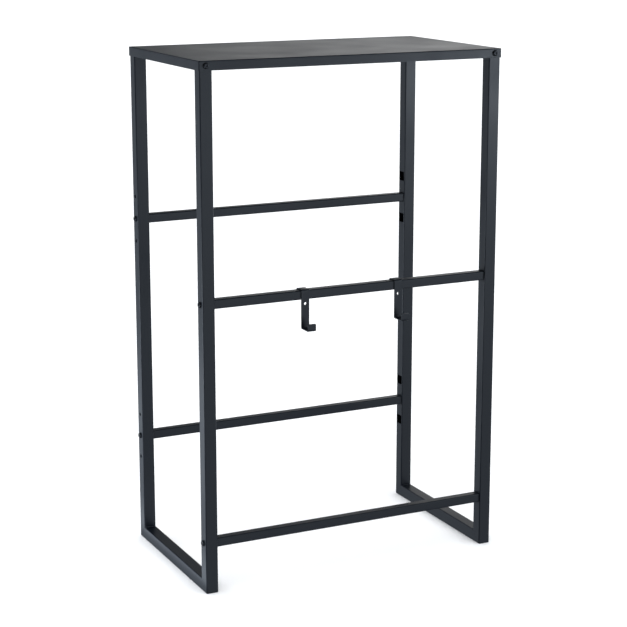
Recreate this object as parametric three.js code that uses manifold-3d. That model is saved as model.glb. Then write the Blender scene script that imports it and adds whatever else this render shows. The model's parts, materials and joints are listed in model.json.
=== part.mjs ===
// A free-standing storage rack of powder-coated square steel tube. Two U-shaped side frames, each of
// two posts and a floor rail mitred at the corners, carry a folded sheet-metal shelf on top and four
// cross bars. The bars enter slots in the posts and are held by button-head screws. Each rear bar
// has two spare positions, above and below it, and two strip hooks slide on the front middle bar.
//
// Millimetres. +X is the rack's right seen from the front, +Y its rear, +Z up. The origin is on the
// floor, in the middle of the footprint, which the hooks extend at the front.

import * as THREE from 'three';
import { mergeVertices } from 'three/addons/utils/BufferGeometryUtils.js';
import Module from 'manifold-3d';

const wasm = await Module();
wasm.setup();

// Driving dimensions
const HEIGHT = 900;            // floor to shelf surface
const FRAME_WIDTH = 560;       // over the posts' outer faces
const FRAME_DEPTH = 316;       // over the posts' front and rear faces
const POST = 22;               // square tube of the side frames
const BAR = 16;                // square tube of the cross bars
const TUBE_WALL = 1.2;
const TUBE_RADIUS = 2;         // outer corner radius of both tubes
const SHEET = 1.2;             // shelf sheet thickness
const SHELF_RADIUS = 1.6;      // outer radius of the shelf's upright corners
const FLANGE = 16;             // height of the shelf's folded edges, over the sheet
const FIT_GAP = 0.3;           // clearance between pieces that touch on the real rack
const SLOT_PITCH = 40;         // step between a rear bar's three positions

const REAR_UPPER_Z = 597;      // cross bars' centre heights
const FRONT_MIDDLE_Z = 501;
const REAR_LOWER_Z = 196;
const FRONT_LOWER_Z = 88;

const SCREW_SHANK_RADIUS = 3;  // M6 button-head screws with a hexagon socket
const SCREW_HEAD_RADIUS = 5.25;
const SCREW_HEAD_HEIGHT = 3.3;
const SCREW_LENGTH = 16;
const SOCKET_ACROSS_FLATS = 4;
const SOCKET_DEPTH = 2;
const HOLE_RADIUS = 3.3;       // screw clearance holes
const NUT_ACROSS_FLATS = 10;
const NUT_THICKNESS = 5;
const INSERT_LENGTH = 10;      // threaded block in each bar end

const HOOK_WIDTH = 15;         // flat strip hooks
const HOOK_STRIP = 1.6;
const HOOK_RETURN = 8;         // how far the strip comes down behind the bar
const HOOK_DROP = 49.7;        // from the bar's underside to the hook's lowest face
const HOOK_REACH = 26;         // from the hanging strip's front face to the lip's
const HOOK_LIP = 13.2;         // height of the lip
const HOOK_HOLE_RADIUS = 2.4;
const HOOK_HOLE_DROP = 6.5;    // from the bar's underside to the hole's centre
const HOOK_LEFT_X = -93;
const HOOK_RIGHT_X = 85;

const ROUND_SIDES = 16;        // flats round a hole, shank or screw head

// Places worked out from them
const postX = (FRAME_WIDTH - POST) / 2;
const postY = (FRAME_DEPTH - POST) / 2;
const postTop = HEIGHT - SHEET - FIT_GAP;
const shelfWidth = FRAME_WIDTH + 2 * (SHEET + FIT_GAP);
const shelfDepth = FRAME_DEPTH + 2 * (SHEET + FIT_GAP);
const shelfScrewZ = HEIGHT - FLANGE / 2;
const barEnd = FRAME_WIDTH / 2 - TUBE_WALL - FIT_GAP;
const slotSize = BAR + 2 * FIT_GAP;
const hookStripFront = postY + BAR / 2 + FIT_GAP + HOOK_STRIP;
const frontReach = hookStripFront + HOOK_REACH;
const rearReach = shelfDepth / 2 + SCREW_HEAD_HEIGHT;
const frameCentreY = (frontReach - rearReach) / 2;

const powderCoat = new THREE.MeshStandardMaterial({ color: 0x3c4047, roughness: 0.5, metalness: 0.2 });
const shelfCoat = new THREE.MeshStandardMaterial({ color: 0x45494e, roughness: 0.5, metalness: 0.2 });
const blackSteel = new THREE.MeshStandardMaterial({ color: 0x24262a, roughness: 0.4, metalness: 0.8 });
const zincSteel = new THREE.MeshStandardMaterial({ color: 0x9ca0a3, roughness: 0.35, metalness: 0.9 });

// Solids and meshes

function toSolid(geometry) {
  geometry.deleteAttribute('normal');
  geometry.deleteAttribute('uv');
  const welded = mergeVertices(geometry, 1e-4);
  const vertProperties = new Float32Array(welded.attributes.position.array);
  const triVerts = new Uint32Array(welded.index.array);
  return new wasm.Manifold(new wasm.Mesh({ numProp: 3, vertProperties, triVerts }));
}

function toGeometry(solid) {
  const { vertProperties, triVerts } = solid.getMesh();
  const geometry = new THREE.BufferGeometry();
  geometry.setAttribute('position', new THREE.BufferAttribute(vertProperties, 3));
  geometry.setIndex(new THREE.BufferAttribute(triVerts, 1));
  geometry.computeVertexNormals();
  return geometry;
}

function box(width, depth, height, x, y, z) {
  return toSolid(new THREE.BoxGeometry(width, depth, height).translate(x, y, z));
}

// A round bar of the given length along the X axis, centred on (x, y, z).
function rodX(radius, length, x, y, z) {
  const rod = new THREE.CylinderGeometry(radius, radius, length, ROUND_SIDES);
  return toSolid(rod.rotateZ(Math.PI / 2).translate(x, y, z));
}

// The same along the Y axis.
function rodY(radius, length, x, y, z) {
  return toSolid(new THREE.CylinderGeometry(radius, radius, length, ROUND_SIDES).translate(x, y, z));
}

function roundedSquare(path, size, radius) {
  const inner = size / 2 - radius;
  path.absarc(inner, inner, radius, 0, Math.PI / 2);
  path.absarc(-inner, inner, radius, Math.PI / 2, Math.PI);
  path.absarc(-inner, -inner, radius, Math.PI, 1.5 * Math.PI);
  path.absarc(inner, -inner, radius, 1.5 * Math.PI, 2 * Math.PI);
  path.closePath();
  return path;
}

// A square tube that stands on the XY plane, with its middle on the Z axis.
function squareTube(size, length) {
  const section = roundedSquare(new THREE.Shape(), size, TUBE_RADIUS);
  section.holes.push(roundedSquare(new THREE.Path(), size - 2 * TUBE_WALL, TUBE_RADIUS - TUBE_WALL));
  return new THREE.ExtrudeGeometry(section, { depth: length, bevelEnabled: false, curveSegments: 2 });
}

// A prism along X whose section is a list of [y, z] points.
function prismX(points, width, x) {
  const section = new THREE.Shape(points.map(([y, z]) => new THREE.Vector2(y, z)));
  const prism = new THREE.ExtrudeGeometry(section, { depth: width, bevelEnabled: false });
  const turn = new THREE.Matrix4().set(0, 0, 1, x - width / 2, 1, 0, 0, 0, 0, 1, 0, 0, 0, 0, 0, 1);
  return prism.applyMatrix4(turn);
}

const rack = new THREE.Group();
rack.position.y = frameCentreY;

function addPiece(name, geometry, material, x = 0, y = 0, z = 0) {
  const mesh = new THREE.Mesh(geometry, material);
  mesh.name = name;
  mesh.position.set(x, y, z);
  rack.add(mesh);
  return mesh;
}

// Side frames. The mitre runs from a corner's outer edge on the floor up to its inner edge.

const MITRE_OVERRUN = 5;
const mitreShift = FIT_GAP / Math.SQRT2;

// What is cut from a 'post' (below the mitre) or from a 'rail' (above it), at the front (end -1)
// or rear (end 1) of the side frame.
function mitreWedge(end, piece) {
  const from = -MITRE_OVERRUN;
  const to = POST + MITRE_OVERRUN;
  const shift = piece === 'post' ? mitreShift : -mitreShift;
  const corner = piece === 'post' ? [to, from + shift] : [from, to + shift];
  const outline = [[from, from + shift], corner, [to, to + shift]];
  const placed = outline.map(([inward, z]) => [end * (FRAME_DEPTH / 2 - inward), z]);
  return toSolid(prismX(placed, 2 * POST, 0));
}

const barRows = [
  { name: 'rear_upper_bar', end: 1, z: REAR_UPPER_Z, spare: [-SLOT_PITCH, SLOT_PITCH] },
  { name: 'front_middle_bar', end: -1, z: FRONT_MIDDLE_Z, spare: [] },
  { name: 'rear_lower_bar', end: 1, z: REAR_LOWER_Z, spare: [-SLOT_PITCH, SLOT_PITCH] },
  { name: 'front_lower_bar', end: -1, z: FRONT_LOWER_Z, spare: [] },
];

// A post about its own vertical axis: mitred foot, a bar slot in the inner face and a screw hole in
// the outer face at every bar position, and a hole for the shelf screw near the top.
function makePost(side, end) {
  let post = toSolid(squareTube(POST, postTop));
  post = post.subtract(mitreWedge(end, 'post').translate([0, -end * postY, 0]));
  for (const row of barRows.filter((bar) => bar.end === end)) {
    for (const step of [0, ...row.spare]) {
      const z = row.z + step;
      post = post.subtract(box(POST / 2, slotSize, slotSize, -side * POST / 2, 0, z));
      post = post.subtract(rodX(HOLE_RADIUS, POST / 2, side * POST / 2, 0, z));
    }
  }
  return post.subtract(rodY(HOLE_RADIUS, POST / 2, 0, end * POST / 2, shelfScrewZ));
}

function makeRail() {
  const tube = squareTube(POST, FRAME_DEPTH);
  tube.rotateX(-Math.PI / 2).translate(0, -FRAME_DEPTH / 2, POST / 2);
  let rail = toSolid(tube);
  for (const end of [-1, 1]) {
    rail = rail.subtract(mitreWedge(end, 'rail'));
  }
  return rail;
}

const sides = [['left', -1], ['right', 1]];
const ends = [['front', -1], ['rear', 1]];

for (const [sideName, side] of sides) {
  for (const [endName, end] of ends) {
    const post = toGeometry(makePost(side, end));
    addPiece(`${sideName}_${endName}_post`, post, powderCoat, side * postX, end * postY);
  }
  addPiece(`${sideName}_floor_rail`, toGeometry(makeRail()), powderCoat, side * postX);
}

// Top shelf: one sheet with its four edges folded down outside the posts.

function roundedSlab(width, depth, radius, height, z) {
  const x = width / 2 - radius;
  const y = depth / 2 - radius;
  const outline = new THREE.Shape();
  outline.absarc(x, y, radius, 0, Math.PI / 2);
  outline.absarc(-x, y, radius, Math.PI / 2, Math.PI);
  outline.absarc(-x, -y, radius, Math.PI, 1.5 * Math.PI);
  outline.absarc(x, -y, radius, 1.5 * Math.PI, 2 * Math.PI);
  outline.closePath();
  const slab = new THREE.ExtrudeGeometry(outline, { depth: height, bevelEnabled: false, curveSegments: 2 });
  return toSolid(slab.translate(0, 0, z));
}

const hollowWidth = shelfWidth - 2 * SHEET;
const hollowDepth = shelfDepth - 2 * SHEET;
let shelf = roundedSlab(shelfWidth, shelfDepth, SHELF_RADIUS, FLANGE, HEIGHT - FLANGE);
shelf = shelf.subtract(
  roundedSlab(hollowWidth, hollowDepth, SHELF_RADIUS - SHEET, FLANGE, HEIGHT - SHEET - FLANGE));
for (const [, side] of sides) {
  for (const [, end] of ends) {
    const hole = rodY(HOLE_RADIUS, POST / 2, side * postX, end * shelfDepth / 2, shelfScrewZ);
    shelf = shelf.subtract(hole);
  }
}
addPiece('top_shelf', toGeometry(shelf), shelfCoat);

// Fasteners

// A button-head screw along +Y: the underside of its head on the XZ plane, its shank towards +Y.
function makeScrew() {
  const steps = 4;
  const profile = [new THREE.Vector2(0, SCREW_LENGTH), new THREE.Vector2(SCREW_SHANK_RADIUS, SCREW_LENGTH)];
  profile.push(new THREE.Vector2(SCREW_SHANK_RADIUS, 0), new THREE.Vector2(SCREW_HEAD_RADIUS, 0));
  const flat = SCREW_HEAD_RADIUS * 0.55;
  for (let i = 1; i <= steps; i++) {
    const angle = (i / steps) * Math.PI / 2;
    const radius = flat + (SCREW_HEAD_RADIUS - flat) * Math.cos(angle);
    profile.push(new THREE.Vector2(radius, -SCREW_HEAD_HEIGHT * Math.sin(angle)));
  }
  profile.push(new THREE.Vector2(0, -SCREW_HEAD_HEIGHT));
  const body = toSolid(new THREE.LatheGeometry(profile.reverse(), ROUND_SIDES));
  const socketRadius = SOCKET_ACROSS_FLATS / Math.sqrt(3);
  const socket = new THREE.CylinderGeometry(socketRadius, socketRadius, 2 * SOCKET_DEPTH, 6);
  return body.subtract(toSolid(socket.translate(0, -SCREW_HEAD_HEIGHT, 0)));
}

// A hexagon nut welded inside a post's wall, along Y, starting at the XZ plane.
function makeNut() {
  const radius = NUT_ACROSS_FLATS / Math.sqrt(3);
  const body = toSolid(new THREE.CylinderGeometry(radius, radius, NUT_THICKNESS, 6));
  const nut = body.subtract(rodY(HOLE_RADIUS, 2 * NUT_THICKNESS, 0, 0, 0));
  return nut.translate([0, NUT_THICKNESS / 2, 0]);
}

// The threaded block inside a bar's end, centred on the bar, along X.
function makeInsert() {
  const size = BAR - 2 * TUBE_WALL - 2 * FIT_GAP;
  const section = roundedSquare(new THREE.Shape(), size, 1);
  const extrusion = { depth: INSERT_LENGTH, bevelEnabled: false, curveSegments: 1 };
  const block = new THREE.ExtrudeGeometry(section, extrusion);
  const solid = toSolid(block.translate(0, 0, -INSERT_LENGTH / 2).rotateY(Math.PI / 2));
  return solid.subtract(rodX(HOLE_RADIUS, 2 * INSERT_LENGTH, 0, 0, 0));
}

const screwGeometry = toGeometry(makeScrew());
const nutGeometry = toGeometry(makeNut());
const insertGeometry = toGeometry(makeInsert());

for (const [sideName, side] of sides) {
  for (const [endName, end] of ends) {
    const headY = end * (shelfDepth / 2);
    const screw = addPiece(
      `${sideName}_${endName}_shelf_screw`, screwGeometry, blackSteel, side * postX, headY, shelfScrewZ);
    const nutY = end * (FRAME_DEPTH / 2 - TUBE_WALL - FIT_GAP);
    const nut = addPiece(
      `${sideName}_${endName}_shelf_nut`, nutGeometry, zincSteel, side * postX, nutY, shelfScrewZ);
    screw.rotation.z = end > 0 ? Math.PI : 0;
    nut.rotation.z = screw.rotation.z;
  }
}

// Cross bars, each with a threaded block in both ends and a screw through each post.

for (const { name, end, z } of barRows) {
  const tube = squareTube(BAR, 2 * barEnd).translate(0, 0, -barEnd).rotateY(Math.PI / 2);
  addPiece(name, tube, powderCoat, 0, end * postY, z);
  for (const [sideName, side] of sides) {
    const insertX = side * (barEnd - INSERT_LENGTH / 2);
    addPiece(`${name}_${sideName}_insert`, insertGeometry, zincSteel, insertX, end * postY, z);
    const screwX = side * FRAME_WIDTH / 2;
    const screw = addPiece(`${name}_${sideName}_screw`, screwGeometry, blackSteel, screwX, end * postY, z);
    screw.rotation.z = side > 0 ? Math.PI / 2 : -Math.PI / 2;
  }
}

// Strip hooks: bent over the front middle bar, down its front, forward and up into a short lip.

function makeHook() {
  const barFront = -BAR / 2 - FIT_GAP;
  const barTop = BAR / 2 + FIT_GAP;
  const stripFront = barFront - HOOK_STRIP;
  const lipFront = stripFront - HOOK_REACH;
  const bottom = -BAR / 2 - HOOK_DROP;
  const lipTop = bottom + HOOK_LIP;
  const outline = [
    [-barFront, barTop - HOOK_RETURN], [-stripFront, barTop - HOOK_RETURN],
    [-stripFront, barTop + HOOK_STRIP], [stripFront, barTop + HOOK_STRIP],
    [stripFront, bottom + HOOK_STRIP], [lipFront + HOOK_STRIP, bottom + HOOK_STRIP],
    [lipFront + HOOK_STRIP, lipTop], [lipFront, lipTop],
    [lipFront, bottom], [barFront, bottom],
    [barFront, barTop], [-barFront, barTop],
  ];
  const strip = toSolid(prismX(outline, HOOK_WIDTH, 0));
  return strip.subtract(rodY(HOOK_HOLE_RADIUS, 8 * HOOK_STRIP, 0, stripFront, -BAR / 2 - HOOK_HOLE_DROP));
}

const hookGeometry = toGeometry(makeHook());
addPiece('left_hook', hookGeometry, powderCoat, HOOK_LEFT_X, -postY, FRONT_MIDDLE_Z);
addPiece('right_hook', hookGeometry, powderCoat, HOOK_RIGHT_X, -postY, FRONT_MIDDLE_Z);

export default rack;
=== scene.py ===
"""The looks of a free-standing steel storage rack: fine tubes, folded shelf, screws, hooks, finishes.

Metres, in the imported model's own frame: +X right, +Y rear, +Z up. Places come from the CAD nodes'
boxes, and each piece here stands for the CAD node that it is named after.
"""

import json
import math

import bmesh
import bpy
from mathutils import Euler, Matrix, Vector


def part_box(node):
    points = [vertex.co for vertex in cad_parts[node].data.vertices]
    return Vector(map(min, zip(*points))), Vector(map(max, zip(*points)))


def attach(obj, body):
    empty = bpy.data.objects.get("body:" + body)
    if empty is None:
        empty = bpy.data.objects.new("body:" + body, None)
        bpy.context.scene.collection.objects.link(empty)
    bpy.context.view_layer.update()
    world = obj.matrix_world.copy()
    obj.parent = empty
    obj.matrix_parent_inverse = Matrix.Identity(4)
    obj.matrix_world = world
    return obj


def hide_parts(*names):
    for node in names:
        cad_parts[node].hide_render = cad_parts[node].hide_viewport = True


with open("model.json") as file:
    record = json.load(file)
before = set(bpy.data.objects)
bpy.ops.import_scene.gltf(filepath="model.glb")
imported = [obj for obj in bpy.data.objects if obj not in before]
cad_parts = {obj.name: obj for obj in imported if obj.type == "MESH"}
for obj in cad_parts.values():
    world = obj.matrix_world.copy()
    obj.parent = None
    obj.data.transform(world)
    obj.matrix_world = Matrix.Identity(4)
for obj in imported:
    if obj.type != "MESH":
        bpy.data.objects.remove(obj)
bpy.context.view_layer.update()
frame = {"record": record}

MM = 0.001

# Tube and sheet, as in the CAD model
TUBE_WALL = 1.2 * MM
TUBE_RADIUS = 2.0 * MM
SHEET = 1.2 * MM
BEND_RADIUS = 1.6 * MM
SLOT_CLEARANCE = 0.6 * MM
SLOT_CORNER = 1.0 * MM
SLOT_PITCH = 40 * MM
SCREW_HOLE_RADIUS = 3.3 * MM
CUT_REACH = 2 * TUBE_WALL      # how far a cutter goes either side of a wall's face
EDGE_SOFTENING = 0.22 * MM
EDGE_SEGMENTS = 2
EDGE_ANGLE = 40                # degrees; flatter edges stay as they are

BODY = "rack"
SIDES = {"left": -1, "right": 1}
ENDS = {"front": -1, "rear": 1}
BARS = {
    "rear_upper_bar": ("rear", (-1, 0, 1)),
    "front_middle_bar": ("front", (0,)),
    "rear_lower_bar": ("rear", (-1, 0, 1)),
    "front_lower_bar": ("front", (0,)),
}


# Mesh helpers


def make_object(name, verts, faces):
    """A new mesh object from plain lists of points and faces, with its faces turned outwards."""
    mesh = bpy.data.meshes.new(name)
    mesh.from_pydata([tuple(v) for v in verts], [], faces)
    work = bmesh.new()
    work.from_mesh(mesh)
    bmesh.ops.recalc_face_normals(work, faces=work.faces)
    work.to_mesh(mesh)
    work.free()
    obj = bpy.data.objects.new(name, mesh)
    bpy.context.scene.collection.objects.link(obj)
    return obj


def loft(name, rings, closed=False):
    """Skins a list of rings of equal length. The ends are capped unless the loft closes on itself."""
    count = len(rings[0])
    verts = [point for ring in rings for point in ring]
    faces = []
    spans = len(rings) if closed else len(rings) - 1
    for i in range(spans):
        a, b = i * count, (i + 1) % len(rings) * count
        for j in range(count):
            k = (j + 1) % count
            faces.append((a + j, a + k, b + k, b + j))
    if not closed:
        faces.append(tuple(range(count)))
        faces.append(tuple(range(len(verts) - count, len(verts))))
    return make_object(name, verts, faces)


def bake_modifiers(obj):
    """Applies an object's modifiers to its mesh."""
    depsgraph = bpy.context.evaluated_depsgraph_get()
    mesh = bpy.data.meshes.new_from_object(obj.evaluated_get(depsgraph))
    old = obj.data
    obj.modifiers.clear()
    obj.data = mesh
    bpy.data.meshes.remove(old)


def join_objects(name, parts):
    """Joins several objects into the first one."""
    work = bmesh.new()
    for part in parts:
        work.from_mesh(part.data)
    work.to_mesh(parts[0].data)
    work.free()
    for part in parts[1:]:
        bpy.data.objects.remove(part)
    parts[0].name = name
    return parts[0]


def cut(obj, cutters):
    """Subtracts the cutters from obj and removes them."""
    tool = join_objects("cutter", cutters)
    modifier = obj.modifiers.new("cut", "BOOLEAN")
    modifier.operation = "DIFFERENCE"
    modifier.solver = "EXACT"
    modifier.object = tool
    bake_modifiers(obj)
    bpy.data.objects.remove(tool)
    return obj


def weigh_normals(obj, weight):
    """Lets the large faces set the shading, so that they look flat up to their rounded edges."""
    weighted = obj.modifiers.new("normals", "WEIGHTED_NORMAL")
    weighted.weight = weight
    weighted.keep_sharp = True


def soften(obj):
    """Rounds the sharp edges and smooths the shading, as a coat of powder does."""
    bevel = obj.modifiers.new("edge", "BEVEL")
    bevel.width = EDGE_SOFTENING
    bevel.segments = EDGE_SEGMENTS
    bevel.limit_method = "ANGLE"
    bevel.angle_limit = math.radians(EDGE_ANGLE)
    bevel.use_clamp_overlap = True
    weigh_normals(obj, 60)
    for polygon in obj.data.polygons:
        polygon.use_smooth = True
    bake_modifiers(obj)
    return obj


def smooth(obj, sharp_angle=35):
    """Smooth shading, with edges sharper than the angle kept crisp."""
    work = bmesh.new()
    work.from_mesh(obj.data)
    for face in work.faces:
        face.smooth = True
    for edge in work.edges:
        edge.smooth = edge.calc_face_angle(0) < math.radians(sharp_angle)
    work.to_mesh(obj.data)
    work.free()
    return obj


def rounded_outline(width, height, radius, segments=8):
    """A rectangle about the origin with round corners, counter-clockwise, as (u, v) points."""
    points = []
    corners = [(1, 1, 0), (-1, 1, 1), (-1, -1, 2), (1, -1, 3)]
    for u, v, quarter in corners:
        for i in range(segments + 1):
            angle = (quarter + i / segments) * math.pi / 2
            points.append((
                u * (width / 2 - radius) + radius * math.cos(angle),
                v * (height / 2 - radius) + radius * math.sin(angle),
            ))
    return points


def along(axis, u, v, w):
    """The point with w along the named axis and u, v along the other two, in right-handed order."""
    return {"X": (w, u, v), "Y": (v, w, u), "Z": (u, v, w)}[axis]


def prism(name, axis, outline, centre, low, high):
    """A closed prism of an outline about a centre, from low to high along an axis."""
    rings = [
        [Vector(centre) + Vector(along(axis, u, v, w)) for u, v in outline]
        for w in (low, high)
    ]
    return loft(name, rings)


def circle(radius, steps=32):
    """A circle about the origin as (u, v) points."""
    return [
        (radius * math.cos(2 * math.pi * i / steps), radius * math.sin(2 * math.pi * i / steps))
        for i in range(steps)
    ]


def square_tube(name, axis, centre, size, low, high):
    """A hollow square tube about centre. low and high give the end planes for each (u, v)."""
    outer = rounded_outline(size, size, TUBE_RADIUS)
    inner = rounded_outline(size - 2 * TUBE_WALL, size - 2 * TUBE_WALL, TUBE_RADIUS - TUBE_WALL)
    rings = []
    for outline, end in ((outer, low), (outer, high), (inner, high), (inner, low)):
        rings.append([Vector(centre) + Vector(along(axis, u, v, end(u, v))) for u, v in outline])
    return loft(name, rings, closed=True)


# Finishes: each one is a procedural material, in the object's own coordinates


def new_material(name):
    material = bpy.data.materials.new(name)
    material.use_nodes = True
    nodes = material.node_tree.nodes
    return material, nodes, material.node_tree.links, nodes["Principled BSDF"]


def add_noise(nodes, links, coords, scale, detail, roughness=0.5):
    node = nodes.new("ShaderNodeTexNoise")
    node.inputs["Scale"].default_value = scale
    node.inputs["Detail"].default_value = detail
    node.inputs["Roughness"].default_value = roughness
    links.new(coords.outputs["Object"], node.inputs["Vector"])
    return node


def remap(nodes, links, source, low, high):
    """A noise's value, whose middle span is stretched to low-high."""
    node = nodes.new("ShaderNodeMapRange")
    node.inputs["From Min"].default_value = 0.3
    node.inputs["From Max"].default_value = 0.7
    node.inputs["To Min"].default_value = low
    node.inputs["To Max"].default_value = high
    links.new(source, node.inputs["Value"])
    return node


def mix_colours(nodes, links, factor, first, second):
    node = nodes.new("ShaderNodeMix")
    node.data_type = "RGBA"
    node.inputs["A"].default_value = (*first, 1)
    node.inputs["B"].default_value = (*second, 1)
    links.new(factor, node.inputs["Factor"])
    return node


def add_bump(nodes, links, source, strength, distance, under=None):
    """Relief from a noise, on top of another bump where one is given."""
    node = nodes.new("ShaderNodeBump")
    node.inputs["Strength"].default_value = strength
    node.inputs["Distance"].default_value = distance
    links.new(source.outputs["Fac"], node.inputs["Height"])
    if under:
        links.new(under.outputs["Normal"], node.inputs["Normal"])
    return node


def powder_coat(name, colour, roughness):
    """Satin polyester powder: fine orange peel, faint texture grain and slow drifts of tone."""
    material, nodes, links, shader = new_material(name)
    coords = nodes.new("ShaderNodeTexCoord")
    drift = add_noise(nodes, links, coords, 9, 3)
    speck = add_noise(nodes, links, coords, 2600, 2, 0.6)
    peel = add_noise(nodes, links, coords, 620, 2, 0.45)
    tone = mix_colours(
        nodes, links, drift.outputs["Fac"],
        [c * 0.88 for c in colour], [c * 1.12 for c in colour])
    fleck = nodes.new("ShaderNodeMix")
    fleck.data_type = "RGBA"
    fleck.blend_type = "MULTIPLY"
    fleck.inputs["Factor"].default_value = 0.35
    grain = remap(nodes, links, speck.outputs["Fac"], 0.75, 1.25)
    links.new(tone.outputs["Result"], fleck.inputs["A"])
    links.new(grain.outputs["Result"], fleck.inputs["B"])
    links.new(fleck.outputs["Result"], shader.inputs["Base Color"])
    rough = remap(nodes, links, drift.outputs["Fac"], roughness - 0.04, roughness + 0.04)
    links.new(rough.outputs["Result"], shader.inputs["Roughness"])
    grit = add_bump(nodes, links, speck, 0.25, 0.02 * MM)
    bump = add_bump(nodes, links, peel, 0.35, 0.05 * MM, grit)
    links.new(bump.outputs["Normal"], shader.inputs["Normal"])
    shader.inputs["Specular IOR Level"].default_value = 0.5
    return material


def bare_steel(name, colour, roughness, grain_scale):
    """Plated or blackened steel with a fine turned grain."""
    material, nodes, links, shader = new_material(name)
    coords = nodes.new("ShaderNodeTexCoord")
    mottle = add_noise(nodes, links, coords, 260, 4, 0.6)
    grain = add_noise(nodes, links, coords, grain_scale, 2)
    tone = mix_colours(
        nodes, links, mottle.outputs["Fac"],
        [c * 0.8 for c in colour], [min(1, c * 1.15) for c in colour])
    links.new(tone.outputs["Result"], shader.inputs["Base Color"])
    rough = remap(nodes, links, mottle.outputs["Fac"], roughness - 0.08, roughness + 0.08)
    links.new(rough.outputs["Result"], shader.inputs["Roughness"])
    bump = add_bump(nodes, links, grain, 0.3, 0.02 * MM)
    links.new(bump.outputs["Normal"], shader.inputs["Normal"])
    shader.inputs["Metallic"].default_value = 1.0
    return material


FRAME_COLOUR = (0.0085, 0.0122, 0.0195)
FRAME_ROUGHNESS = 0.35
SCREW_COLOUR = (0.055, 0.057, 0.062)
ZINC_COLOUR = (0.62, 0.63, 0.64)

finishes = {
    "powder_coat": powder_coat("powder coat", FRAME_COLOUR, FRAME_ROUGHNESS),
    "shelf_coat": powder_coat("shelf powder coat", FRAME_COLOUR, FRAME_ROUGHNESS),
    "black_screw": bare_steel("blackened steel", SCREW_COLOUR, 0.38, 2400),
    "zinc_steel": bare_steel("zinc plate", ZINC_COLOUR, 0.3, 1500),
}

slots = {row["node"]: row["material_slot"] for row in frame["record"]["subparts"]}


def finish_piece(obj, node, body=BODY):
    """Gives a piece its node's finish, and lets it ride in the node's place."""
    slot = slots[node]
    obj.data.materials.clear()
    obj.data.materials.append(finishes[slot])
    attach(obj, body)
    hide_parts(node)
    return obj


# Side frames


def node_box(node):
    low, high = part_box(node)
    return low, high, (low + high) / 2


def bar_slot(x, y, z, size):
    """A cutter for a bar's slot through a post's inner wall."""
    outline = rounded_outline(size, size, SLOT_CORNER, 4)
    return prism("slot", "X", outline, (x, y, z), -CUT_REACH, CUT_REACH)


def screw_hole(axis, x, y, z):
    """A cutter for a screw hole through one tube wall or the shelf's edge."""
    return prism("hole", axis, circle(SCREW_HOLE_RADIUS), (x, y, z), -CUT_REACH, CUT_REACH)


shelf_low, shelf_high, shelf_middle = node_box("top_shelf")
shelf_screw_z = node_box("left_front_shelf_screw")[2].z
post_places = [node_box(f"{side_name}_front_post")[2].x for side_name in SIDES]
rail_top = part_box("left_floor_rail")[1].z


def make_post(side_name, end_name):
    """A post, mitred to its floor rail, with its bars' slots and screw holes."""
    side, end = SIDES[side_name], ENDS[end_name]
    node = f"{side_name}_{end_name}_post"
    low, high, middle = node_box(node)
    size = high.x - low.x
    centre = (middle.x, middle.y, 0)

    def mitre(u, v):
        return size / 2 - end * v

    post = square_tube(node + "_tube", "Z", centre, size, mitre, lambda u, v: high.z)
    cutters = []
    outer_x = middle.x + side * size / 2
    inner_x = middle.x - side * size / 2
    for bar, (bar_end, steps) in BARS.items():
        if bar_end != end_name:
            continue
        bar_low, bar_high, bar_middle = node_box(bar)
        slot_size = bar_high.z - bar_low.z + 2 * SLOT_CLEARANCE
        for step in steps:
            z = bar_middle.z + step * SLOT_PITCH
            cutters.append(bar_slot(inner_x, middle.y, z, slot_size))
            cutters.append(screw_hole("X", outer_x, middle.y, z))
    cutters.append(screw_hole("Y", middle.x, middle.y + end * size / 2, shelf_screw_z))
    return finish_piece(soften(cut(post, cutters)), node)


def make_rail(side_name):
    """A floor rail, mitred to both of its posts."""
    node = f"{side_name}_floor_rail"
    low, high, middle = node_box(node)
    size = high.z - low.z
    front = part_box(f"{side_name}_front_post")[0].y
    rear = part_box(f"{side_name}_rear_post")[1].y
    centre = (middle.x, 0, middle.z)
    rail = square_tube(
        node + "_tube", "Y", centre, size,
        lambda u, v: front + size / 2 + u, lambda u, v: rear - size / 2 - u)
    return finish_piece(soften(rail), node)


WELD_LEG = 2.4 * MM
WELD_ROOT = 0.3 * MM           # how far it sits into the tubes
WELD_RIPPLE = 1.1 * MM         # from one ripple to the next
WELD_STEPS = 72
WELD_ARC_STEPS = 8


def make_weld(side_name, end_name):
    """The fillet weld in the inner corner between a post and its floor rail."""
    end = ENDS[end_name]
    low, high, middle = node_box(f"{side_name}_{end_name}_post")
    half = (high.x - low.x) / 2 - TUBE_RADIUS
    corner = Vector((middle.x, high.y if end < 0 else low.y, rail_top))
    rings = []
    for i in range(WELD_STEPS + 1):
        t = -half + 2 * half * i / WELD_STEPS
        taper = math.sqrt(max(0.0, 1 - abs(t / half) ** 6))
        ripple = 0.05 * math.sin(2 * math.pi * t / WELD_RIPPLE + 0.7 * math.sin(400 * t))
        leg = WELD_LEG * (0.25 + 0.75 * taper) * (1 + ripple)
        section = [(-WELD_ROOT, -WELD_ROOT), (leg, -WELD_ROOT)]
        for j in range(WELD_ARC_STEPS + 1):
            angle = math.pi / 2 * j / WELD_ARC_STEPS
            bulge = 0.042 * leg * math.sin(2 * angle)
            section.append((leg * math.cos(angle) ** 1.2 + bulge, leg * math.sin(angle) ** 1.2 + bulge))
        section.append((-WELD_ROOT, leg))
        rings.append([corner + Vector((t, -end * out, up)) for out, up in section])
    weld = loft(f"{side_name}_{end_name}_corner_weld", rings)
    smooth(weld, 50)
    weld.data.materials.append(finishes["powder_coat"])
    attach(weld, BODY)


for side_name in SIDES:
    for end_name in ENDS:
        make_post(side_name, end_name)
        make_weld(side_name, end_name)
    make_rail(side_name)


# Cross bars

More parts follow.
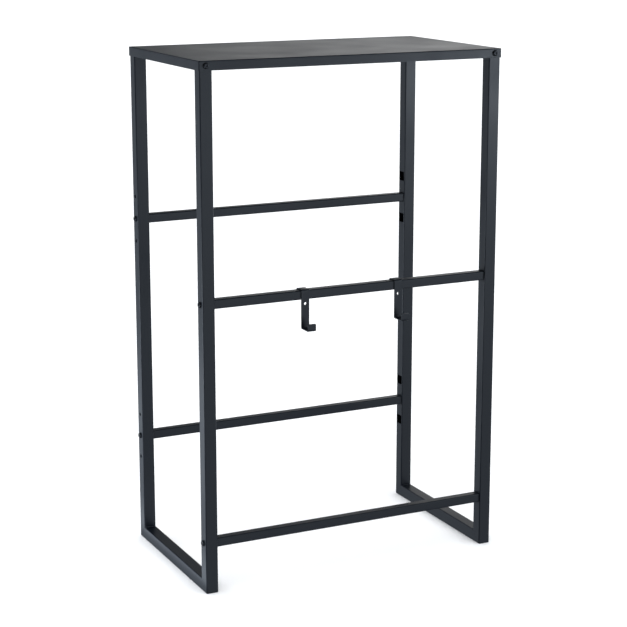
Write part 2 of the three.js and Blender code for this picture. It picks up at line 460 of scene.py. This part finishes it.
for bar in BARS:
    low, high, middle = node_box(bar)
    size = high.z - low.z
    tube = square_tube(
        bar + "_tube", "X", (0, middle.y, middle.z), size,
        lambda u, v: low.x, lambda u, v: high.x)
    finish_piece(soften(tube), bar)


# Top shelf: a sheet with its edges folded down, swept round its outline

FLARE = 0.4 * MM               # how far the folded edge springs out between the screws
PULL_IN = 0.25 * MM            # how far a screw draws it in towards the post
FLAT_INNER, FREE_INNER = 9 * MM, 33 * MM    # from a post's centre, away from the corner
FLAT_OUTER, FREE_OUTER = 5 * MM, 9.8 * MM   # and towards it
CORNER_STEPS = 8
EDGE_STEP = 3 * MM
RIM = 0.3 * MM                 # rounding of the sheet's cut edge
MERGE_DISTANCE = 1e-7


def shelf_path():
    """The shelf's outline: (point, outward direction, is it on the front or rear edge)."""
    half = Vector((
        (shelf_high.x - shelf_low.x) / 2 - BEND_RADIUS,
        (shelf_high.y - shelf_low.y) / 2 - BEND_RADIUS))
    path = []
    corners = [(1, 1), (-1, 1), (-1, -1), (1, -1)]
    for quarter, (u, v) in enumerate(corners):
        centre = Vector((u * half.x + shelf_middle.x, v * half.y + shelf_middle.y))
        for i in range(CORNER_STEPS + 1):
            angle = (quarter + i / CORNER_STEPS) * math.pi / 2
            path.append((centre, Vector((math.cos(angle), math.sin(angle))), 0))
        u_next, v_next = corners[(quarter + 1) % 4]
        target = Vector((u_next * half.x + shelf_middle.x, v_next * half.y + shelf_middle.y))
        angle = (quarter + 1) * math.pi / 2
        outward = Vector((math.cos(angle), math.sin(angle)))
        count = max(2, round((target - centre).length / EDGE_STEP))
        for i in range(1, count):
            path.append((centre.lerp(target, i / count), outward, abs(outward.y)))
    return path


def shelf_profile():
    """The folded edge's section from the top face to the underside: (out from the bend's centre
    line, height, how much of a screw's pull it takes)."""
    top, bottom = shelf_high.z, shelf_low.z
    inner = BEND_RADIUS - SHEET
    steps = 6
    section = []
    for i in range(steps + 1):
        angle = math.pi / 2 * (1 - i / steps)
        rise = BEND_RADIUS * math.sin(angle)
        section.append((BEND_RADIUS * math.cos(angle), top - BEND_RADIUS + rise, 0))
    drop = top - BEND_RADIUS - bottom - RIM
    for share in (0.25, 0.5, 0.75, 1):
        section.append((BEND_RADIUS, top - BEND_RADIUS - drop * share, share))
    section += [(BEND_RADIUS - 0.3 * RIM, bottom + 0.3 * RIM, 1), (BEND_RADIUS - RIM, bottom, 1)]
    section += [(inner + RIM, bottom, 1), (inner + 0.3 * RIM, bottom + 0.3 * RIM, 1)]
    for share in (1, 0.75, 0.5, 0.25):
        section.append((inner, top - BEND_RADIUS - drop * share, share))
    for i in range(3):
        angle = math.pi / 2 * i / 2
        section.append((inner * math.cos(angle), top - BEND_RADIUS + inner * math.sin(angle), 0))
    return section


def edge_shift(x):
    """How far out of line the folded edge stands at x: in at the posts' screws, out between them."""
    post_x = max(post_places, key=lambda place: -abs(x - place))
    distance = abs(x - post_x)
    flat, free = (FLAT_INNER, FREE_INNER) if abs(x) < abs(post_x) else (FLAT_OUTER, FREE_OUTER)
    share = min(1, max(0, (distance - flat) / (free - flat)))
    share = share * share * (3 - 2 * share)
    return (FLARE if abs(x) < abs(post_x) else 0) * share - PULL_IN * (1 - share)


def make_shelf():
    rings = []
    section = shelf_profile()
    for centre, outward, long_edge in shelf_path():
        ring = []
        for out, z, share in section:
            place = centre + outward * (out + long_edge * share * edge_shift(centre.x))
            ring.append(Vector((place.x, place.y, z)))
        rings.append(ring)
    count = len(section)
    total = len(rings)
    verts = [point for ring in rings for point in ring]
    faces = []
    for i in range(total):
        a, b = i * count, (i + 1) % total * count
        for j in range(count - 1):
            faces.append((a + j, b + j, b + j + 1, a + j + 1))
    faces.append(tuple(i * count for i in range(total)))
    faces.append(tuple(i * count + count - 1 for i in range(total)))
    shelf = make_object("top_shelf_sheet", verts, faces)
    cutters = [
        screw_hole("Y", node_box(f"{side_name}_{end_name}_shelf_screw")[2].x,
                   shelf_low.y if end_name == "front" else shelf_high.y, shelf_screw_z)
        for side_name in SIDES for end_name in ENDS
    ]
    cut(shelf, cutters)
    work = bmesh.new()
    work.from_mesh(shelf.data)
    bmesh.ops.remove_doubles(work, verts=work.verts, dist=MERGE_DISTANCE)
    work.to_mesh(shelf.data)
    work.free()
    smooth(shelf)
    weigh_normals(shelf, 80)
    bake_modifiers(shelf)
    finish_piece(shelf, "top_shelf")


make_shelf()


# Fasteners: rings of points about an axis, each ring a function of the angle

RING_STEPS = 48
SHANK_RADIUS = 3.0 * MM
THREAD_PITCH = 1.0 * MM
THREAD_DEPTH = 0.55 * MM
THREAD_STEPS = 6               # rings to a turn
THREAD_START = 0.4 * MM        # from the shank's end
THREAD_BARE = 1.4 * MM         # the shank's length that has no thread
SHANK_CHAMFER = 0.3 * MM
HEAD_RADIUS = 5.25 * MM
HEAD_HEIGHT = 3.3 * MM
HEAD_FLAT = 0.55               # share of the head's radius that is flat on top
HEAD_EDGE = 0.25 * MM
HEAD_STEPS = 10
SOCKET_APOTHEM = 2.0 * MM
SOCKET_DEPTH = 2.0 * MM
SOCKET_CHAMFER = 0.22 * MM
NUT_APOTHEM = 5.0 * MM
NUT_CHAMFER = 0.5 * MM
NUT_STEPS = 12


def ring(radius, height):
    """One ring; radius and height are numbers or functions of the angle."""
    points = []
    for i in range(RING_STEPS):
        angle = 2 * math.pi * i / RING_STEPS
        r = radius(angle) if callable(radius) else radius
        h = height(angle) if callable(height) else height
        points.append(Vector((r * math.cos(angle), r * math.sin(angle), h)))
    return points


def hexagon(apothem):
    """A hexagon's radius at each angle."""
    def radius(angle):
        return apothem / math.cos((angle + math.pi / 6) % (math.pi / 3) - math.pi / 6)
    return radius


def thread_radius(height):
    """A 60 degree thread's surface at a height: its crests climb one pitch a turn."""
    def radius(angle):
        phase = (height / THREAD_PITCH - angle / (2 * math.pi)) % 1
        crest = min(1, 1.25 * (1 - abs(2 * phase - 1)))
        return SHANK_RADIUS - THREAD_DEPTH * (1 - crest)
    return radius


def make_screw(node, direction):
    """A button-head screw whose shank points along direction, from its head's underside."""
    low, high, middle = node_box(node)
    length = max(high - low) - HEAD_HEIGHT
    rings = [ring(0.4 * MM, -length), ring(SHANK_RADIUS - THREAD_DEPTH - SHANK_CHAMFER, -length)]
    thread_steps = int((length - THREAD_BARE) / THREAD_PITCH * THREAD_STEPS)
    for i in range(thread_steps + 1):
        height = -length + THREAD_START + i * THREAD_PITCH / THREAD_STEPS
        rings.append(ring(thread_radius(height), height))
    rings.append(ring(SHANK_RADIUS, -0.5 * MM))
    rings.append(ring(SHANK_RADIUS, 0))
    rings.append(ring(HEAD_RADIUS - 0.3 * MM, 0))
    flat = HEAD_RADIUS * HEAD_FLAT
    for i in range(HEAD_STEPS + 1):
        angle = math.pi / 2 * i / HEAD_STEPS
        dome = flat + (HEAD_RADIUS - flat) * math.cos(angle) ** 0.9
        rings.append(ring(dome, HEAD_EDGE + (HEAD_HEIGHT - HEAD_EDGE) * math.sin(angle)))
    rings.append(ring(hexagon(SOCKET_APOTHEM + SOCKET_CHAMFER), HEAD_HEIGHT))
    rings.append(ring(hexagon(SOCKET_APOTHEM), HEAD_HEIGHT - SOCKET_CHAMFER))
    rings.append(ring(hexagon(SOCKET_APOTHEM), HEAD_HEIGHT - SOCKET_DEPTH))
    rings.append(ring(0.3 * MM, HEAD_HEIGHT - SOCKET_DEPTH - 0.6 * MM))
    screw = loft(node + "_threaded", rings)
    axis = Vector(direction)
    head_under = Vector(
        (low if sum(axis) > 0 else high)[i] + axis[i] * HEAD_HEIGHT if axis[i] else middle[i]
        for i in range(3))
    turn = axis.to_track_quat("-Z", "Y").to_matrix().to_4x4()
    screw.data.transform(Matrix.Translation(head_under) @ turn)
    smooth(screw, 38)
    finish_piece(screw, node)


def make_nut(node):
    """A chamfered hexagon weld nut on its post's inner wall."""
    low, high, middle = node_box(node)
    half = (high.y - low.y) / 2
    flat = half - NUT_CHAMFER

    def chamfered(angle):
        return min(hexagon(NUT_APOTHEM)(angle), NUT_APOTHEM + 0.35 * MM)

    profile = [
        (SCREW_HOLE_RADIUS, -flat), (SCREW_HOLE_RADIUS + NUT_CHAMFER, -half),
        (chamfered, -half), (hexagon(NUT_APOTHEM), -flat),
        (hexagon(NUT_APOTHEM), flat), (chamfered, half),
        (SCREW_HOLE_RADIUS + NUT_CHAMFER, half), (SCREW_HOLE_RADIUS, flat),
    ]
    for i in range(1, NUT_STEPS):
        height = flat - 2 * flat * i / NUT_STEPS
        profile.append((thread_radius(height + 3 * THREAD_PITCH), height))
    nut = loft(node + "_threaded", [ring(r, h) for r, h in profile], closed=True)
    nut.data.transform(Matrix.Translation(middle) @ Euler((math.pi / 2, 0, 0)).to_matrix().to_4x4())
    smooth(nut)
    finish_piece(nut, node)


def make_insert(node):
    """The threaded block in a bar's end."""
    low, high, middle = node_box(node)
    outline = rounded_outline(high.y - low.y, high.z - low.z, 1.0 * MM, 5)
    block = prism(node + "_block", "X", outline, middle, low.x - middle.x, high.x - middle.x)
    reach = high.x - middle.x + MM
    cut(block, [prism("bore", "X", circle(SCREW_HOLE_RADIUS), middle, -reach, reach)])
    finish_piece(soften(block), node)


for side_name, side in SIDES.items():
    for end_name, end in ENDS.items():
        make_screw(f"{side_name}_{end_name}_shelf_screw", (0, -end, 0))
        make_nut(f"{side_name}_{end_name}_shelf_nut")
    for bar in BARS:
        make_screw(f"{bar}_{side_name}_screw", (-side, 0, 0))
        make_insert(f"{bar}_{side_name}_insert")


# Strip hooks

STRIP = 1.6 * MM
STRIP_EDGE = 0.35 * MM
STRIP_BEND = 2.0 * MM          # radius of the strip's middle line at a bend
STRIP_CORNER = 2.2 * MM        # rounding of the strip's two ends
HOOK_HOLE_RADIUS = 2.4 * MM
HOOK_HOLE_DROP = 6.5 * MM
HOOK_RETURN = 8 * MM
HOOK_LIP = 13.2 * MM
BEND_STEPS = 7


def rounded_line(corners, radius):
    """A path through the corners with an arc at each inner one."""
    path = [corners[0]]
    for before, corner, after in zip(corners, corners[1:], corners[2:]):
        back = (before - corner).normalized()
        forward = (after - corner).normalized()
        centre = corner + (back + forward) * radius
        for i in range(BEND_STEPS + 1):
            angle = math.pi / 2 * i / BEND_STEPS
            path.append(centre - forward * radius * math.cos(angle) - back * radius * math.sin(angle))
    path.append(corners[-1])
    return path


def refine(path, step):
    """The same path with long stretches divided."""
    fine = [path[0]]
    for a, b in zip(path, path[1:]):
        count = max(1, math.ceil((b - a).length / step))
        fine += [a.lerp(b, i / count) for i in range(1, count + 1)]
    return fine


def insert_distances(path, distances):
    """The same path with a point added at each distance from its start."""
    marks = sorted(distances)
    fine = [path[0]]
    travelled = 0
    for a, b in zip(path, path[1:]):
        length = (b - a).length
        for mark in marks:
            if travelled + 1e-6 < mark < travelled + length - 1e-6:
                fine.append(a.lerp(b, (mark - travelled) / length))
        fine.append(b)
        travelled += length
    return fine


def make_hook(node):
    """A strip hook: one path from the return behind the bar to the lip, swept with the strip."""
    low, high, middle = node_box(node)
    bar_low, bar_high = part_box("front_middle_bar")
    half = STRIP / 2
    back_y = high.y - half
    hang_y = bar_low.y - (high.y - bar_high.y) + half
    lip_y = low.y + half
    top_z = high.z - half
    bottom_z = low.z + half
    corners = [
        Vector((back_y, high.z - STRIP - HOOK_RETURN)), Vector((back_y, top_z)),
        Vector((hang_y, top_z)), Vector((hang_y, bottom_z)),
        Vector((lip_y, bottom_z)), Vector((lip_y, low.z + HOOK_LIP)),
    ]
    path = refine(rounded_line(corners, STRIP_BEND), 2 * MM)
    ends = [STRIP_CORNER * share for share in (0.02, 0.1, 0.25, 0.45, 0.7)]
    total = sum((b - a).length for a, b in zip(path, path[1:]))
    path = insert_distances(path, ends + [total - d for d in reversed(ends)])
    width = high.x - low.x
    rings = []
    travelled = 0
    for i, point in enumerate(path):
        if i:
            travelled += (point - path[i - 1]).length
        before, after = path[max(0, i - 1)], path[min(len(path) - 1, i + 1)]
        tangent = (after - before).normalized()
        normal = Vector((tangent.y, -tangent.x))
        near_end = max(0, min(travelled, total - travelled))
        inset = 0
        if near_end < STRIP_CORNER:
            inset = STRIP_CORNER - math.sqrt(near_end * (2 * STRIP_CORNER - near_end))
        section = rounded_outline(width - 2 * inset, STRIP, STRIP_EDGE, 3)
        rings.append([
            Vector((middle.x + u, point.x + normal.x * v, point.y + normal.y * v)) for u, v in section])
    hook = loft(node + "_strip", rings)
    hole_z = bar_low.z - HOOK_HOLE_DROP
    drill = prism("drill", "Y", circle(HOOK_HOLE_RADIUS, 40), (middle.x, hang_y, hole_z), -3 * MM, 3 * MM)
    cut(hook, [drill])
    smooth(hook, 42)
    finish_piece(hook, node, node)


for hook_node in ("left_hook", "right_hook"):
    make_hook(hook_node)


# Stage: a pale floor, soft light, and the camera

FLOOR_REACH = 60
floor = make_object(
    "floor",
    [(-FLOOR_REACH, -FLOOR_REACH, 0), (FLOOR_REACH, -FLOOR_REACH, 0),
     (FLOOR_REACH, FLOOR_REACH, 0), (-FLOOR_REACH, FLOOR_REACH, 0)],
    [(0, 1, 2, 3)])
floor_material, floor_nodes, floor_links, floor_shader = new_material("pale floor")
floor_coords = floor_nodes.new("ShaderNodeTexCoord")
floor_drift = add_noise(floor_nodes, floor_links, floor_coords, 1.5, 2)
floor_tone = mix_colours(
    floor_nodes, floor_links, floor_drift.outputs["Fac"], (0.88, 0.88, 0.885), (0.9, 0.9, 0.9))
floor_links.new(floor_tone.outputs["Result"], floor_shader.inputs["Base Color"])
floor_shader.inputs["Roughness"].default_value = 0.9
floor_shader.inputs["Specular IOR Level"].default_value = 0.1
floor.data.materials.append(floor_material)

world = bpy.data.worlds.new("studio")
bpy.context.scene.world = world
world.use_nodes = True
world_nodes, world_links = world.node_tree.nodes, world.node_tree.links
surround = world_nodes["Background"]
surround.inputs["Color"].default_value = (0.9, 1, 1.1, 1)
surround.inputs["Strength"].default_value = 0.06
backdrop = world_nodes.new("ShaderNodeBackground")
backdrop.inputs["Color"].default_value = (1, 1, 1, 1)
backdrop.inputs["Strength"].default_value = 1.1
seen = world_nodes.new("ShaderNodeLightPath")
either = world_nodes.new("ShaderNodeMixShader")
world_links.new(seen.outputs["Is Camera Ray"], either.inputs["Fac"])
world_links.new(surround.outputs["Background"], either.inputs[1])
world_links.new(backdrop.outputs["Background"], either.inputs[2])
world_links.new(either.outputs["Shader"], world_nodes["World Output"].inputs["Surface"])

DAYLIGHT = (0.9, 1.0, 1.12)


def place_light(name, light, place, direction, colour=DAYLIGHT):
    light.color = colour
    obj = bpy.data.objects.new(name, light)
    bpy.context.scene.collection.objects.link(obj)
    obj.location = place
    obj.rotation_euler = Vector(direction).to_track_quat("-Z", "Y").to_euler()
    obj.visible_camera = False
    return obj


def distant_light(name, source, angle, strength, colour=DAYLIGHT):
    """A broad soft light so far off that it comes from one direction."""
    light = bpy.data.lights.new(name, "SUN")
    light.angle = math.radians(angle)
    light.energy = strength
    return place_light(name, light, source, -Vector(source), colour)


def softbox(name, place, target, size, power):
    """A rectangular soft light nearby."""
    light = bpy.data.lights.new(name, "AREA")
    light.shape = "RECTANGLE"
    light.size, light.size_y = size
    light.energy = power
    return place_light(name, light, place, Vector(target) - Vector(place))


distant_light("rear_wall", (0.57, 0.79, -0.06), 36, 0.26, (1, 1, 1))
distant_light("rear_wall_top", (0.57, 0.79, 0.38), 24, 0.06, (1, 1, 1))
distant_light("ceiling", (0, 0, 1), 120, 0.3)
distant_light("rear_left_top", (-0.64, 0.64, 0.45), 40, 0.4)
distant_light("floor_glow_front", (0.43, -0.85, -0.35), 50, 0.3)
distant_light("floor_glow_rear", (-0.43, 0.85, -0.35), 50, 0.22)
distant_light("right_wall", (1, 0.15, 0), 60, 0.6)
distant_light("front_wall", (0, -1, 0), 24, 0.3)
distant_light("back_wall", (0.1, 1, 0), 20, 0.12)
distant_light("far_wall", (0.75, 0.65, -0.35), 40, 0.25)
softbox("key_right", (2.1, -2.0, 0.7), (0.28, -0.15, 0.7), (1.0, 0.35), 3.5)
softbox("key_near", (1.55, -1.75, 0.75), (0.28, -0.15, 0.75), (0.8, 0.25), 4.4)
softbox("front_fill", (0.9, -2.4, 0.5), (0, -0.15, 0.5), (0.8, 0.7), 1.2)
softbox("left_bounce", (-0.75, 0.6, 0.003), (-0.75, 0.6, 1), (0.6, 1.5), 1.8)
softbox("left_bounce_near", (-0.32, 0.2, 0.003), (-0.32, 0.2, 1), (0.05, 0.9), 0.12)
softbox("left_panel", (-1.3, 0.1, 0.15), (-0.28, 0, 0.1), (0.8, 0.5), 7)

floor_light = distant_light("overhead", (0, 0, 1), 120, 3.85, (1, 1, 1))
only_floor = bpy.data.collections.new("lit from overhead")
only_floor.objects.link(floor)
floor_light.light_linking.receiver_collection = only_floor
floor.visible_diffuse = floor.visible_glossy = floor.visible_shadow = False

CAMERA_LENS = 100.3            # mm, on a sensor 36 mm wide
CAMERA_SHIFT = -0.04
CAMERA_PLACE = Vector((-1.3406, -2.7223, 1.1470))
CAMERA_YAW = math.radians(26.12)
CAMERA_PITCH = math.radians(12.50)

camera_data = bpy.data.cameras.new("camera")
camera_data.lens = CAMERA_LENS
camera_data.sensor_width = 36
camera_data.shift_y = CAMERA_SHIFT
camera = bpy.data.objects.new("camera", camera_data)
bpy.context.scene.collection.objects.link(camera)
camera.location = CAMERA_PLACE
camera.rotation_euler = (math.pi / 2 - CAMERA_PITCH, 0, -CAMERA_YAW)
bpy.context.scene.camera = camera
bpy.context.scene.view_settings.view_transform = "Standard"

bpy.context.view_layer.update()
